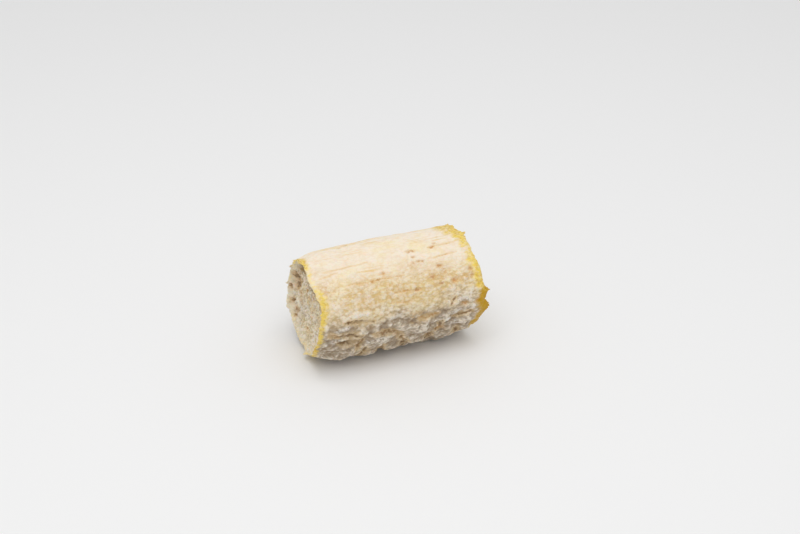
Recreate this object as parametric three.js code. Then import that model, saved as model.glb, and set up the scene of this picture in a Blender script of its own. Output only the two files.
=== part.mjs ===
// A small ripened goat cheese log, lying on its side: one solid with a sunken face and a ragged lip of rind at each end.
// Millimetres, +Z up. The log lies along X and rests at Z = 0, with the origin in the middle of the flat
// that its own weight presses. -Y is its front, -X its left end.
import * as THREE from 'three';
import { mergeVertices } from 'three/addons/utils/BufferGeometryUtils.js';

// Driving dimensions
const DIAMETER = 54;
const HALF_LENGTH = 42.5; // from the middle to the crest of either lip, on average
const REST_WIDTH = 14; // the pressed flat
const LIP_RADIUS = 25; // at the crest, a little inside the round side
const LIP_THICKNESS = 0.9;
const LIP_HEIGHT = 1.6; // how far the crest stands out past the rounded end of the side
const SHOULDER = 10; // the length over which the side draws in to the lip, on top
const LOW_SHOULDER = 17; // the same underneath, where the ends curl up from the surface
const DISH_DEPTH = 2.6; // how far the middle of a face lies below its edge

// How finely the solid is cut
const COLUMNS = 90;
const BODY_ROWS = 34;
const DISH_RINGS = 7;

const RADIUS = DIAMETER / 2;
const AXIS_HEIGHT = Math.sqrt(RADIUS ** 2 - (REST_WIDTH / 2) ** 2);
const TURN = 2 * Math.PI;
const { clamp, lerp, degToRad } = THREE.MathUtils;

// The lips are uneven. Each list goes round the log in steps of 30 degrees: front, up over the top, back, underneath.
const LEFT_REACH = [43.8, 41.0, 43.7, 42.5, 41.8, 41.4, 42.0, 42.4, 42.6, 42.2, 43.6, 45.4];
const LEFT_RADIUS = [25.0, 25.5, 25.2, 25.0, 24.0, 23.8, 24.6, 25.0, 24.4, 23.2, 22.8, 24.0];
const RIGHT_REACH = [43.6, 42.6, 41.3, 40.2, 38.4, 39.2, 40.4, 41.4, 42.0, 41.4, 40.4, 42.5];
const RIGHT_RADIUS = [26.2, 26.4, 26.2, 26.2, 26.4, 25.8, 25.4, 25.2, 25.0, 24.4, 23.8, 25.0];

// Torn tags and one notch of the lips: end, angle up from the front, spread of angle, height and outward flare
const TAGS = [
  { end: -1, angle: 94, spread: 5, height: 1.0, flare: 1.6 },
  { end: -1, angle: 112, spread: 5, height: 1.3, flare: 0.8 },
  { end: -1, angle: 200, spread: 7, height: 0.9, flare: 0.4 },
  { end: -1, angle: 280, spread: 5, height: 2.0, flare: 0 },
  { end: 1, angle: 110, spread: 8, height: 0.2, flare: 1.4 },
  { end: 1, angle: 84, spread: 4, height: 1.1, flare: 0.6 },
  { end: 1, angle: 12, spread: 4, height: 1.7, flare: 0.4 },
  { end: 1, angle: 3, spread: 3, height: -1.5, flare: 0 },
  { end: 1, angle: 352, spread: 7, height: 1.5, flare: 0.7 },
  { end: 1, angle: 190, spread: 6, height: 1.2, flare: 0.5 },
];

// The main creases of the side: where each starts and ends along the log and round it, its width and its depth
const CREASES = [
  { from: [-33, 44], to: [5, 43], width: 0.9, depth: 0.35 },
  { from: [-39, 68], to: [-14, 69], width: 0.9, depth: 0.25 },
  { from: [17, 70], to: [40, 73], width: 0.9, depth: 0.3 },
  { from: [-30, 5], to: [-12, -3], width: 1.8, depth: 0.9 },
  { from: [-41, -9], to: [-24, -22], width: 2.0, depth: 1.1 },
  { from: [-14, -22], to: [3, -25], width: 1.6, depth: 0.9 },
  { from: [3, -25], to: [12, -38], width: 1.6, depth: 0.8 },
  { from: [-19, -26], to: [-23, -44], width: 1.6, depth: 1.1 },
  { from: [8, -12], to: [24, -18], width: 1.6, depth: 0.6 },
  { from: [19, -28], to: [24, -46], width: 1.8, depth: 1.0 },
  { from: [-36, -34], to: [-24, -52], width: 2.0, depth: 1.0 },
  { from: [-2, -40], to: [16, -56], width: 2.0, depth: 1.0 },
];

// The back carries creases like the front's, at places drawn from a seeded rule
const BACK_CREASES = 9;
const BACK_SEED = 5;

const fraction = (value) => value - Math.floor(value);
const ease = (t) => t * t * (3 - 2 * t);
const ramp = (low, high, value) => ease(clamp((value - low) / (high - low), 0, 1));
const bell = (distance, width) => Math.exp(-((distance / width) ** 2));

// A repeatable value from -1 to 1 for one corner of a lattice
function corner(i, j, seed) {
  return 2 * fraction(Math.sin(i * 127.1 + j * 311.7 + seed * 74.7) * 43758.5453) - 1;
}

// Smooth wandering from -1 to 1 over the side: both places are in cells, and the second closes after a whole turn
function wander(along, around, cells, seed) {
  const i = Math.floor(along);
  const j = Math.floor(around);
  const s = ease(along - i);
  const at = (a, b) => corner(i + a, (j + b + cells) % cells, seed);
  return lerp(lerp(at(0, 0), at(1, 0), s), lerp(at(0, 1), at(1, 1), s), ease(around - j));
}

// A list of values at equal steps round the log, joined smoothly
function around(values, angle) {
  const place = fraction(angle / TURN) * values.length;
  const i = Math.floor(place);
  return lerp(values[i % values.length], values[(i + 1) % values.length], ease(place - i));
}

// The smallest turn from one angle to another
function turnBetween(angle, other) {
  return Math.abs(fraction((angle - other) / TURN + 0.5) - 0.5) * TURN;
}

// How far a place on the rolled-out side is from a crease, in millimetres
function distanceToCrease(x, angle, { from, to }) {
  const flat = (along, degrees) => new THREE.Vector2(along, degToRad(degrees) * RADIUS);
  const start = flat(...from);
  const run = flat(...to).sub(start);
  const turned = fraction(angle / TURN + 0.5) - 0.5;
  const place = new THREE.Vector2(x, turned * TURN * RADIUS).sub(start);
  const share = clamp(place.dot(run) / run.lengthSq(), 0, 1);
  return place.sub(run.multiplyScalar(share)).length();
}

// The back's creases, as mirror-side neighbours of the front's: lengthwise and slanting, in the lower half
function backCreases() {
  return Array.from({ length: BACK_CREASES }, (_, n) => {
    const x = lerp(-38, 22, n / (BACK_CREASES - 1));
    const degrees = 195 + 28 * corner(n, 1, BACK_SEED);
    return {
      from: [x, degrees - 360],
      to: [x + 13 + 4 * corner(n, 2, BACK_SEED), degrees - 360 + 9 * corner(n, 3, BACK_SEED)],
      width: 1.8,
      depth: 0.8,
    };
  });
}

const ALL_CREASES = [...CREASES, ...backCreases()];

// 0 on the smooth top, 1 on the wrinkled underside
const lowness = (angle) => ramp(0.35, -0.55, Math.sin(angle));

// The relief of the round side at one place, in millimetres outward
function sideRelief(x, angle) {
  const low = lowness(angle);
  const fromBottom = turnBetween(angle, -TURN / 4);
  const free = ramp(degToRad(13), degToRad(27), fromBottom); // nothing stands out of the pressed flat
  const slanted = (angle / TURN) * 20 + x / 60;
  const swell = 0.35 * wander(x / 17, (angle / TURN) * 8, 8, 1);
  const rolls = 0.75 * low * wander(x / 8, fraction(slanted / 20) * 20, 20, 2);
  const wrinkles = lerp(0.12, 0.42, low) * wander(x / 4.6, fraction(angle / TURN) * 36, 36, 3);
  const sag = 0.35 * bell(fromBottom - degToRad(40), degToRad(24));
  let cut = 0;
  for (const crease of ALL_CREASES) {
    cut += crease.depth * bell(distanceToCrease(x, angle, crease), crease.width);
  }
  return sag + free * (swell + rolls + wrinkles - Math.min(cut, 1.4));
}

// The unevenness of a sunken face: lumps, and on the left end a deeper hollow near the top of the back
function faceRelief(end, y, z) {
  const lumps = 0.5 * wander(y / 6.5 + 40, z / 6.5 + 40, 97, 6 + end);
  const hollow = end < 0 ? 1.4 * bell(Math.hypot(y - 6, z - AXIS_HEIGHT - 13), 8) : 0;
  return lumps - hollow;
}

// How far the lip's crest stands out past its even height
function lipTear(end, angle) {
  const nibble = 0.45 * wander(3.5 + end, fraction(angle / TURN) * 45, 45, 4);
  return TAGS.filter((tag) => tag.end === end).reduce(
    (sum, tag) => {
      const weight = bell(turnBetween(angle, degToRad(tag.angle)), degToRad(tag.spread));
      return { height: sum.height + tag.height * weight, flare: sum.flare + tag.flare * weight };
    },
    { height: nibble, flare: 0 },
  );
}

// Half of the profile of an even, round log, from the middle of one sunken face out over the lip to the side
function endProfile() {
  const inside = LIP_RADIUS - LIP_THICKNESS;
  const base = HALF_LENGTH - LIP_HEIGHT;
  const dish = Array.from({ length: DISH_RINGS }, (_, i) => {
    const share = i / DISH_RINGS;
    return [base - DISH_DEPTH * (1 - share ** 3), share * (inside - 0.6)];
  });
  return [
    ...dish,
    [base, inside - 0.6],
    [HALF_LENGTH - 0.25, inside + 0.1],
    [HALF_LENGTH, LIP_RADIUS - 0.1],
    [base + 0.1, LIP_RADIUS + 0.5],
    [base - 1.8, LIP_RADIUS + 0.9],
  ];
}

// The whole profile, from the left face's middle to the right face's
function logProfile() {
  const half = endProfile();
  const bodyEnd = HALF_LENGTH - LIP_HEIGHT - 3.8;
  const side = Array.from({ length: BODY_ROWS + 1 }, (_, i) => [lerp(-bodyEnd, bodyEnd, i / BODY_ROWS), RADIUS]);
  const left = half.map(([x, radius]) => [-x, radius]);
  return [...left, ...side, ...half.reverse()].map(([x, radius]) => new THREE.Vector2(radius, x));
}

// Moves one point of the even log to its place on the real, uneven one
function reshape(point) {
  const end = Math.sign(point.x) || 1;
  const even = Math.hypot(point.y, point.z);
  const angle = Math.atan2(point.z, -point.y);
  const reach = around(end < 0 ? LEFT_REACH : RIGHT_REACH, angle);
  const lipRadius = around(end < 0 ? LEFT_RADIUS : RIGHT_RADIUS, angle);
  const inward = ramp(LIP_RADIUS - 6, LIP_RADIUS - 1, even); // 0 on the face, 1 from the lip outward
  const atLip = ramp(HALF_LENGTH - LIP_HEIGHT, HALF_LENGTH, Math.abs(point.x)) * inward;
  const tear = lipTear(end, angle);

  const pull = ramp(0, HALF_LENGTH, Math.abs(point.x)) * ramp(0, LIP_RADIUS, even);
  const x = point.x + end * (pull * (reach - HALF_LENGTH) + atLip * tear.height);
  const roundFrom = HALF_LENGTH - lerp(SHOULDER, LOW_SHOULDER, lowness(angle));
  const shoulder = ramp(roundFrom, HALF_LENGTH - 1, Math.abs(point.x));
  let radius = even * lerp(1, lipRadius / LIP_RADIUS, shoulder) + atLip * tear.flare;
  radius -= shoulder * Math.max(even - LIP_RADIUS - 1, 0);
  radius += sideRelief(x, angle) * inward * (1 - 0.7 * shoulder);

  const y = -radius * Math.cos(angle);
  const z = AXIS_HEIGHT + radius * Math.sin(angle);
  point.set(x + end * (1 - inward) * faceRelief(end, y, z), y, Math.max(z, 0));
}

// Welds a lathed shape into one closed body, without the empty triangles at its two poles
function weld(lathed) {
  lathed.deleteAttribute('normal');
  lathed.deleteAttribute('uv');
  const welded = mergeVertices(lathed, 1e-4);
  const corners = welded.index.array;
  const kept = [];
  for (let i = 0; i < corners.length; i += 3) {
    const [a, b, c] = corners.slice(i, i + 3);
    if (a !== b && b !== c && c !== a) kept.push(a, b, c);
  }
  welded.setIndex(kept);
  return welded;
}

function cheeseLogGeometry() {
  const geometry = weld(new THREE.LatheGeometry(logProfile(), COLUMNS));
  geometry.rotateZ(-Math.PI / 2); // the lathe's axis Y becomes X
  const places = geometry.attributes.position;
  const point = new THREE.Vector3();
  for (let i = 0; i < places.count; i++) {
    point.fromBufferAttribute(places, i);
    reshape(point);
    places.setXYZ(i, point.x, point.y, point.z);
  }
  geometry.computeVertexNormals();
  return geometry;
}

const rind = new THREE.MeshStandardMaterial({ color: 0xe0cda6, roughness: 0.8, metalness: 0 });
const cheeseLog = new THREE.Mesh(cheeseLogGeometry(), rind);
cheeseLog.name = 'cheese_log';

const part = new THREE.Group();
part.add(cheeseLog);

export default part;
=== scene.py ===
# %% [markdown]
# # A ripened goat cheese log
#
# The cheese is a hand-sized roll with a soft mould rind. Its top is smooth and cream-coloured, its sides are
# tan and finely wrinkled, and underneath it is grey and folded. A thin waxy yellow lip stands round each
# sunken end.
#
# The packed model is loaded first. It fixes the true size and the main shape, and everything here is made to
# fit it.

# %% Load the fixed frame
import math
import random

import bmesh
import bpy
import mathutils.noise
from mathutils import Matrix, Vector
from mathutils.bvhtree import BVHTree


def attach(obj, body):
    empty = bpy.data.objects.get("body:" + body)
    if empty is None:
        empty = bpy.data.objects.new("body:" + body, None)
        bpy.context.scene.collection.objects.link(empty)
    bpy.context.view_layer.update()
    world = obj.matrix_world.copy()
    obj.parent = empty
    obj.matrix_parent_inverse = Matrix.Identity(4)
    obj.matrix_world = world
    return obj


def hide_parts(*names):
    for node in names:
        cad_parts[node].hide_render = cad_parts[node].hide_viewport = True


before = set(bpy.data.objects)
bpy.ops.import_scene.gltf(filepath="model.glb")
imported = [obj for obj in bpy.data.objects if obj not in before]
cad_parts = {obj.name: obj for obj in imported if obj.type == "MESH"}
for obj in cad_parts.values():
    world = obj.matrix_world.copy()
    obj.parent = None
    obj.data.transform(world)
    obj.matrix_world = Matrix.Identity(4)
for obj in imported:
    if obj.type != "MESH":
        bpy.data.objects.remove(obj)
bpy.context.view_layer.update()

MM = 0.001  # a millimetre in metres, the unit that Blender works in

# %% [markdown]
# ## The camera
#
# The photograph looks down on the log at about 30 degrees and turned 23 degrees to its side, through a long
# lens from about 80 cm away. The camera takes that place, so a render can be laid over the photograph.

# %% Place the camera
CAMERA_PLACE = Vector((-254.2, -631.3, 426.6)) * MM
CAMERA_DOWN = math.radians(29.57)
CAMERA_TURN = math.radians(22.587)
LENS = 72
SENSOR_WIDTH = 36

scene = bpy.context.scene
camera = bpy.data.objects.new("camera", bpy.data.cameras.new("camera"))
camera.data.lens = LENS
camera.data.sensor_width = SENSOR_WIDTH
camera.location = CAMERA_PLACE
camera.rotation_euler = (math.pi / 2 - CAMERA_DOWN, 0, -CAMERA_TURN)
scene.collection.objects.link(camera)
scene.camera = camera
print("camera", round(CAMERA_PLACE.length / MM), "mm from the log")

# %% [markdown]
# ## Floor and studio light
#
# A big soft light hangs over the log, a little in front of it and to its left, so the top is the brightest
# and the folds of the lower front shade softly. The world adds an even, weaker light from all sides. The view
# transform is set to Standard, because the filmic ones would grey the pale colours.

# %% Lay the floor and hang the light
FLOOR_SIZE = 6.0
FLOOR_TONE = 0.88
FLOOR_ROUGHNESS = 0.7
WORLD_LIGHT = 0.66
LAMP_SIZE = 0.9
LAMP_PLACE = Vector((-0.12, -0.2, 1.0))
LAMP_POWER = 4.5


def floor_paint():
    paint = bpy.data.materials.new("floor paint")
    paint.use_nodes = True
    shader = paint.node_tree.nodes["Principled BSDF"]
    shader.inputs["Base Color"].default_value = (FLOOR_TONE, FLOOR_TONE, FLOOR_TONE, 1)
    shader.inputs["Roughness"].default_value = FLOOR_ROUGHNESS
    return paint


def lay_floor():
    half = FLOOR_SIZE / 2
    corners = [(-half, -half, 0), (half, -half, 0), (half, half, 0), (-half, half, 0)]
    mesh = bpy.data.meshes.new("floor")
    mesh.from_pydata(corners, [], [(0, 1, 2, 3)])
    mesh.materials.append(floor_paint())
    floor = bpy.data.objects.new("floor", mesh)
    scene.collection.objects.link(floor)


def hang_lamp():
    """Hangs an area light that points at the middle of the floor."""
    light = bpy.data.lights.new("soft box", "AREA")
    light.size = LAMP_SIZE
    light.energy = LAMP_POWER
    lamp = bpy.data.objects.new("soft box", light)
    lamp.location = LAMP_PLACE
    lamp.rotation_euler = (-LAMP_PLACE).to_track_quat("-Z", "Y").to_euler()
    scene.collection.objects.link(lamp)


lay_floor()
hang_lamp()
scene.world = bpy.data.worlds.new("studio")
scene.world.use_nodes = True
background = scene.world.node_tree.nodes["Background"]
background.inputs["Strength"].default_value = WORLD_LIGHT
background.inputs["Color"].default_value = (1, 1, 1, 1)
scene.view_settings.view_transform = "Standard"
print("lamp", LAMP_POWER, "W, world", WORLD_LIGHT)

# %% [markdown]
# ## Sums with sockets
#
# Both the shape and the colour are worked out by node trees. Written node by node they would be long, so a
# small class wraps an output socket and lets Python's own operators add the Math nodes. One more method adds
# any other node from its type, its settings and what goes into its sockets.

# %% Wrap a socket in a class that can add up


class Wire:
    """An output socket of a node tree. An operator on it adds the Math node that works the result out."""

    def __init__(self, socket):
        self.socket = socket
        self.tree = socket.id_data

    def node(self, kind, settings=None, sockets=None, out=0):
        """Adds a node beside this wire in the same tree."""
        return add_node(self.tree, kind, settings, sockets, out)

    def math(self, operation, *others):
        sockets = dict(enumerate((self, *others)))
        return self.node("ShaderNodeMath", {"operation": operation}, sockets)

    def __add__(self, other):
        return self.math("ADD", other)

    def __sub__(self, other):
        return self.math("SUBTRACT", other)

    def __rsub__(self, other):
        return (self * -1) + other

    def __mul__(self, other):
        return self.math("MULTIPLY", other)

    def __truediv__(self, other):
        return self.math("DIVIDE", other)

    def __pow__(self, power):
        return self.math("POWER", power)

    def __abs__(self):
        return self.math("ABSOLUTE")

    __radd__ = __add__
    __rmul__ = __mul__

    def ramp(self, low, high):
        """0 at low and before it, 1 at high and after it, smooth between. Low may be above high."""
        sockets = {"Value": self, "From Min": low, "From Max": high}
        return self.node("ShaderNodeMapRange", {"interpolation_type": "SMOOTHSTEP"}, sockets)

    def vector(self, operation, *others):
        sockets = dict(enumerate((self, *others)))
        out = "Value" if operation == "LENGTH" else "Vector"
        return self.node("ShaderNodeVectorMath", {"operation": operation}, sockets, out)

    def scaled(self, factor):
        """The same vector, made longer or shorter."""
        return self.node("ShaderNodeVectorMath", {"operation": "SCALE"}, {0: self, "Scale": factor})

    def parts(self):
        """The three numbers of a vector."""
        return [self.node("ShaderNodeSeparateXYZ", {}, {0: self}, axis) for axis in "XYZ"]


def find_socket(sockets, key):
    """A socket by its number, or by its name among those that the node's settings have switched on."""
    if isinstance(key, int):
        return sockets[key]
    return next(socket for socket in sockets if socket.name == key and socket.enabled)


def add_node(tree, kind, settings=None, sockets=None, out=0):
    """Adds a node, sets it up, feeds its sockets with values or wires, and returns one of its outputs."""
    node = tree.nodes.new(kind)
    for name, value in (settings or {}).items():
        setattr(node, name, value)
    for key, value in (sockets or {}).items():
        socket = find_socket(node.inputs, key)
        if isinstance(value, Wire):
            tree.links.new(value.socket, socket)
        else:
            socket.default_value = value
    return Wire(find_socket(node.outputs, out)) if len(node.outputs) else None


def join(x, y, z):
    """A vector from three numbers or wires."""
    first = next(value for value in (x, y, z) if isinstance(value, Wire))
    return first.node("ShaderNodeCombineXYZ", {}, {0: x, 1: y, 2: z})


def tell(step, tree):
    print(step + ":", len(tree.nodes), "nodes so far")


print("a wire can do", [name for name in vars(Wire) if not name.startswith("_")])

# %% [markdown]
# ## Patterns
#
# Everything uneven on the rind comes from a few patterns that are read at a place on it. Soft noise gives
# patches, noise folded about its middle gives rolls with sharp valleys, and Voronoi cells give granules. To
# make a pattern less regular, the place that it is read at is bent by another noise, and to make it run along
# the log, that place is squeezed along the log. Sizes and reaches are in millimetres, and every pattern has a
# fixed seed.

# %% Write the patterns
BEND_GAIN = 3  # the noise seldom leaves the middle third of its range
FOLDED_GAIN = 6
ROLL_ROUNDNESS = 0.7
GRANULE_SOFTNESS = 0.35


def noise(place, size, detail=1.0, seed=0.0, roughness=0.5):
    """Soft random values from 0 to 1, mostly near a half, with lumps about size across."""
    sockets = {"Vector": place, "W": seed, "Scale": 1 / size, "Detail": detail, "Roughness": roughness}
    return place.node("ShaderNodeTexNoise", {"noise_dimensions": "4D"}, sockets, "Fac")


def bend(place, size, reach, seed):
    """Moves the places that a pattern is read at by up to about reach, so that its lines wander."""
    sockets = {"Vector": place, "W": seed, "Scale": 1 / size, "Detail": 1.0}
    wander = place.node("ShaderNodeTexNoise", {"noise_dimensions": "4D"}, sockets, "Color")
    aside = wander.vector("SUBTRACT", (0.5, 0.5, 0.5))
    return place.vector("ADD", aside.scaled(reach * BEND_GAIN))


def drawn_out(place, ratio):
    """Where to read a pattern that is to be longer along the log by a ratio."""
    x, y, z = place.parts()
    return join(x / ratio, y, z)


def puckered(place, size, seed):
    """Rounded rolls with sharp valleys between them: 0 in a valley, 1 on a roll."""
    from_middle = abs(noise(place, size, seed=seed) - 0.5)
    return (from_middle * FOLDED_GAIN).math("MINIMUM", 1.0) ** ROLL_ROUNDNESS


def granules(place, size, seed):
    """Small round lumps packed side by side: 1 on a lump, 0 in the gaps."""
    shifted = place.vector("ADD", (seed, seed, seed))
    sockets = {"Vector": shifted, "Scale": 1 / size, "Smoothness": GRANULE_SOFTNESS, "Randomness": 1.0}
    return place.node("ShaderNodeTexVoronoi", {"feature": "SMOOTH_F1"}, sockets, "Distance").ramp(0.72, 0.12)


print("patterns:", [pattern.__name__ for pattern in (noise, puckered, granules)])

# %% [markdown]
# ## The log's form
#
# The packed solid already has the true form, but only coarsely. A copy of it is welded and its triangles are
# paired into quads, because a Subdivision Surface rounds quads cleanly. The two crests of the lips are found
# on it: at each angle round the log, the point that stands out furthest.

# %% Copy the solid as a form to be refined
NODE = "cheese_log"
DIAMETER = 54
REST_WIDTH = 14
AXIS_HEIGHT = math.sqrt((DIAMETER / 2) ** 2 - (REST_WIDTH / 2) ** 2)
SAME_POINT = 0.002  # corners closer than this are one point
COLUMN_STEP = 4  # degrees between the solid's columns of points


def copy_form():
    form = bmesh.new()
    form.from_mesh(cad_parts[NODE].data)
    bmesh.ops.remove_doubles(form, verts=form.verts, dist=SAME_POINT * MM)
    bmesh.ops.join_triangles(
        form, faces=form.faces, angle_face_threshold=math.pi, angle_shape_threshold=math.pi
    )
    bmesh.ops.recalc_face_normals(form, faces=form.faces)
    for face in form.faces:
        face.smooth = True
    return form


def degrees_up(y, z):
    """How many degrees a place is round the log, from the front and up over the top."""
    return math.degrees(math.atan2(z - AXIS_HEIGHT, -y))


def outward_at(degrees):
    """The direction out from the log's axis at a number of degrees round from the front."""
    turned = math.radians(degrees)
    return Vector((0, -math.cos(turned), math.sin(turned)))


def crest(form, end):
    """The ring of points along the top of one end's lip, in order round the log."""
    furthest = {}
    for vertex in form.verts:
        x, y, z = vertex.co / MM
        angle = round(degrees_up(y, z) / COLUMN_STEP) % (360 // COLUMN_STEP)
        if angle not in furthest or end * x > end * furthest[angle].x:
            furthest[angle] = Vector((x, y, z))
    return [furthest[angle] * MM for angle in sorted(furthest)]


form = copy_form()
crests = {end: crest(form, end) for end in (-1, 1)}
print("form:", len(form.verts), "points and", len(form.faces), "faces")
print("crest points:", len(crests[-1]), "and", len(crests[1]))

# %% [markdown]
# ## Marks on the rind
#
# Some marks are worth listing one by one, as the photograph shows them: the long thin creases of the top, the
# folds of the lower front, the small brown pits and the hollows of the left face. A place on the side is
# given by how far it is along the log in millimetres and how many degrees it is up from the front.

# %% List the creases, rolls, pits and stains
# Creases and rolls: start and end as (along, up), half the width, depth or height, and warmth
CREASES = [
    ((-36, 66), (-13, 68.5), 0.9, 0.12, 0.9),
    ((-38, 60), (-29, 63), 0.8, 0.10, 0.9),
    ((-31, 47), (3, 46), 0.9, 0.35, 0.8),
    ((19, 71), (38, 74), 0.8, 0.20, 0.8),
    ((20, 58), (33, 60.5), 0.8, 0.22, 0.8),
    ((-4, 30), (6, 28.5), 1.1, 0.4, 0.7),
    ((-6, 20), (4, 18), 1.2, 0.4, 0.6),
    ((-30, 9), (-16, 4), 2.6, 0.9, 0.15),
    ((-41, 1), (-34, -8), 2.4, 0.7, 0.3),
    ((-34, -6), (-22, -10), 2.8, 1.1, 0.1),
    ((-33, -18), (-24, -20), 3.0, 1.1, 0.0),
    ((-21.5, -17), (-24, -31), 2.0, 1.2, 0.2),
    ((-16, -12), (-5, -14), 2.4, 0.9, 0.2),
    ((-5, -14), (1, -33), 2.6, 0.9, 0.2),
    ((8, -4), (18, -2), 2.0, 0.6, 0.4),
    ((20, -14), (18, -30), 2.4, 0.9, 0.1),
    ((24, 4), (27, 13), 1.6, 0.5, 0.2),
    ((26, -12), (36, -8), 2.0, 0.7, 0.2),
    ((-19, -32), (-20, -56), 3.0, 1.3, 0.1),
    ((-10, -34), (-9, -58), 3.0, 1.2, 0.1),
    ((2, -34), (3, -56), 3.2, 1.3, 0.1),
    ((16, -32), (14, -54), 3.2, 1.2, 0.1),
    ((28, -30), (31, -50), 3.0, 1.2, 0.1),
]
ROLLS = [
    ((-31, 15), (-15, 14), 2.8, 0.8, 0),
    ((-36, 1), (-26, 3), 2.4, 0.7, 0),
    ((-39, -14), (-31, -14), 2.4, 0.6, 0),
    ((-20, -21), (-6, -23), 2.8, 0.8, 0),
    ((-12, 4), (2, 6), 2.4, 0.5, 0),
    ((5, -24), (13, -20), 2.6, 0.7, 0),
    ((22, 7), (34, 9), 2.8, 0.4, 0),
    ((22, -6), (33, -3), 3.0, 0.5, 0),
    ((23, -21), (35, -18), 3.0, 0.6, 0),
]

# Pits of the side: (along, up), radius, depth and warmth
PITS = [
    ((9.0, 70.5), 1.3, 0.35, 0.7),
    ((11.0, 70.0), 1.1, 0.3, 0.7),
    ((10.2, 63), 1.1, 0.25, 0.5),
    ((12.0, 57), 1.1, 0.3, 0.6),
    ((13.9, 56), 1.2, 0.3, 0.6),
    ((9.2, 56), 1.0, 0.25, 0.6),
    ((21.2, 71), 1.5, 0.35, 0.8),
    ((23.2, 75), 1.0, 0.25, 0.7),
    ((21.5, 48), 1.8, 0.4, 0.7),
    ((16.5, 38), 1.8, 0.5, 0.7),
    ((7.5, 28), 1.6, 0.6, 0.5),
    ((27.6, 30), 2.2, 0.7, 1.0),
    ((20.2, 29.5), 1.4, 0.4, 0.6),
    ((-7, 52), 1.3, 0.25, 1.0),
    ((-10.2, 45.5), 1.2, 0.3, 0.6),
    ((-13.6, 45.5), 1.2, 0.3, 0.6),
    ((37, 39), 1.8, 0.35, 0.6),
    ((37, 31), 1.8, 0.4, 0.8),
    ((38, 4), 1.6, 0.45, 0.8),
    ((31.5, 3), 1.6, 0.45, 0.6),
    ((19.5, -26), 2.6, 1.2, 0.1),
    ((-41, -14), 2.2, 0.5, 0.5),
]

# Hollows of the left face: (y, z), radius, depth and warmth; the finish paints them dark, partly as painted
# shade
FACE_HOLLOWS = [
    ((17.8, 29.8), 4.4, 1.0, 0.1),
    ((18.4, 34.0), 4.0, 0.8, 0.0),
    ((22.9, 26.5), 3.0, 0.7, 0.2),
    ((14.0, 26.0), 3.2, 1.0, 0.5),
    ((5.8, 11.4), 2.0, 0.6, 0.8),
    ((-2.1, 9.6), 1.8, 0.4, 0.5),
    ((17.8, 15.8), 2.4, 0.5, 0.3),
    ((18.3, 12.3), 1.6, 0.4, 0.3),
    ((21.5, 19.4), 2.4, 0.4, 0.2),
    ((12.7, 21.2), 2.2, 0.5, 0.2),
    ((-4.0, 33.0), 3.0, 0.5, 0.1),
]

# Stains that only colour the rind: (along, up), radius, no depth, and warmth
STAINS = [
    ((-20, 33), 13.0, 0, 0.35),
    ((-37, 48), 7.0, 0, 0.8),
    ((-38, 66), 6.0, 0, 0.3),
    ((-2, 33), 9.0, 0, 0.4),
    ((22, 40), 8.0, 0, 0.6),
    ((7, -2), 6.0, 0, 0.5),
    ((33, 33), 7.0, 0, 0.7),
    ((8, 52), 7.0, 0, 0.2),
]

print("creases:", len(CREASES), "rolls:", len(ROLLS), "pits:", len(PITS), "hollows:", len(FACE_HOLLOWS))

# %% [markdown]
# ### Cast the marks onto the form
#
# Each mark is cast from the log's axis onto the form, so that it lies on the surface, and is kept as loose
# points that carry the mark's width, depth and warmth. A crease is a row of such points. The far side can't
# be seen in the photograph, so it gets the same marks mirrored, each moved a little by a seeded draw.

# %% Cast the marks onto the form
CREASE_STEP = 0.4  # millimetres between the points of a crease
TIP = 0.04  # share of the swelling curve that is left out at each end of a crease
NARROWEST = 0.4  # width of a crease's tips, as a share of its full width
FURTHEST_ALONG = 38.0
SHIFT_ALONG = 6
SHIFT_UP = 4
OUTSIDE = -60  # millimetres along the log, well outside the left face
surface = BVHTree.FromBMesh(form)


def on_side(along, up):
    return surface.ray_cast(Vector((along, 0, AXIS_HEIGHT)) * MM, outward_at(up))[0]


def on_left_face(y, z):
    return surface.ray_cast(Vector((OUTSIDE, y, z)) * MM, Vector((1, 0, 0)))[0]


def store_numbers(mesh, numbers):
    """Keeps named numbers on a mesh, one for each of its points."""
    for name, values in numbers.items():
        mesh.attributes.new(name, "FLOAT", "POINT").data.foreach_set("value", values)


def points_object(name, places, **numbers):
    """An object of loose points, each of which carries named numbers."""
    mesh = bpy.data.meshes.new(name)
    mesh.from_pydata(places, [], [])
    store_numbers(mesh, numbers)
    return bpy.data.objects.new(name, mesh)


def marks_object(name, rows):
    places, widths, depths, warmths = zip(*rows)
    return points_object(name, places, width=widths, depth=depths, warmth=warmths)


def along_lines(lines):
    """Points along each line, thinning out towards both of its ends."""
    rows = []
    for (start, start_up), (end, end_up), width, depth, warmth in lines:
        rise = math.radians(end_up - start_up) * DIAMETER / 2
        steps = math.ceil(math.hypot(end - start, rise) / CREASE_STEP)
        for step in range(steps + 1):
            share = step / steps
            swell = math.sin(math.pi * (TIP + (1 - 2 * TIP) * share)) ** 0.5
            place = on_side(start + (end - start) * share, start_up + (end_up - start_up) * share)
            rows.append((place, width * (NARROWEST + (1 - NARROWEST) * swell), depth * swell, warmth))
    return rows


def on_far_side(place, draw):
    """The place that mirrors one of the near side, moved a little."""
    along, up = place
    shifted = -along + draw.uniform(-SHIFT_ALONG, SHIFT_ALONG)
    kept = max(-FURTHEST_ALONG, min(FURTHEST_ALONG, shifted))
    return kept, 180 - up + draw.uniform(-SHIFT_UP, SHIFT_UP)


def lines_all_round(lines, seed):
    draw = random.Random(seed)
    far = [(on_far_side(start, draw), on_far_side(end, draw), *rest) for start, end, *rest in lines]
    return along_lines(lines + far)


def spots_all_round(spots, seed):
    draw = random.Random(seed)
    far = [(on_far_side(place, draw), *rest) for place, *rest in spots]
    return [(on_side(*place), *rest) for place, *rest in spots + far]


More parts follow.
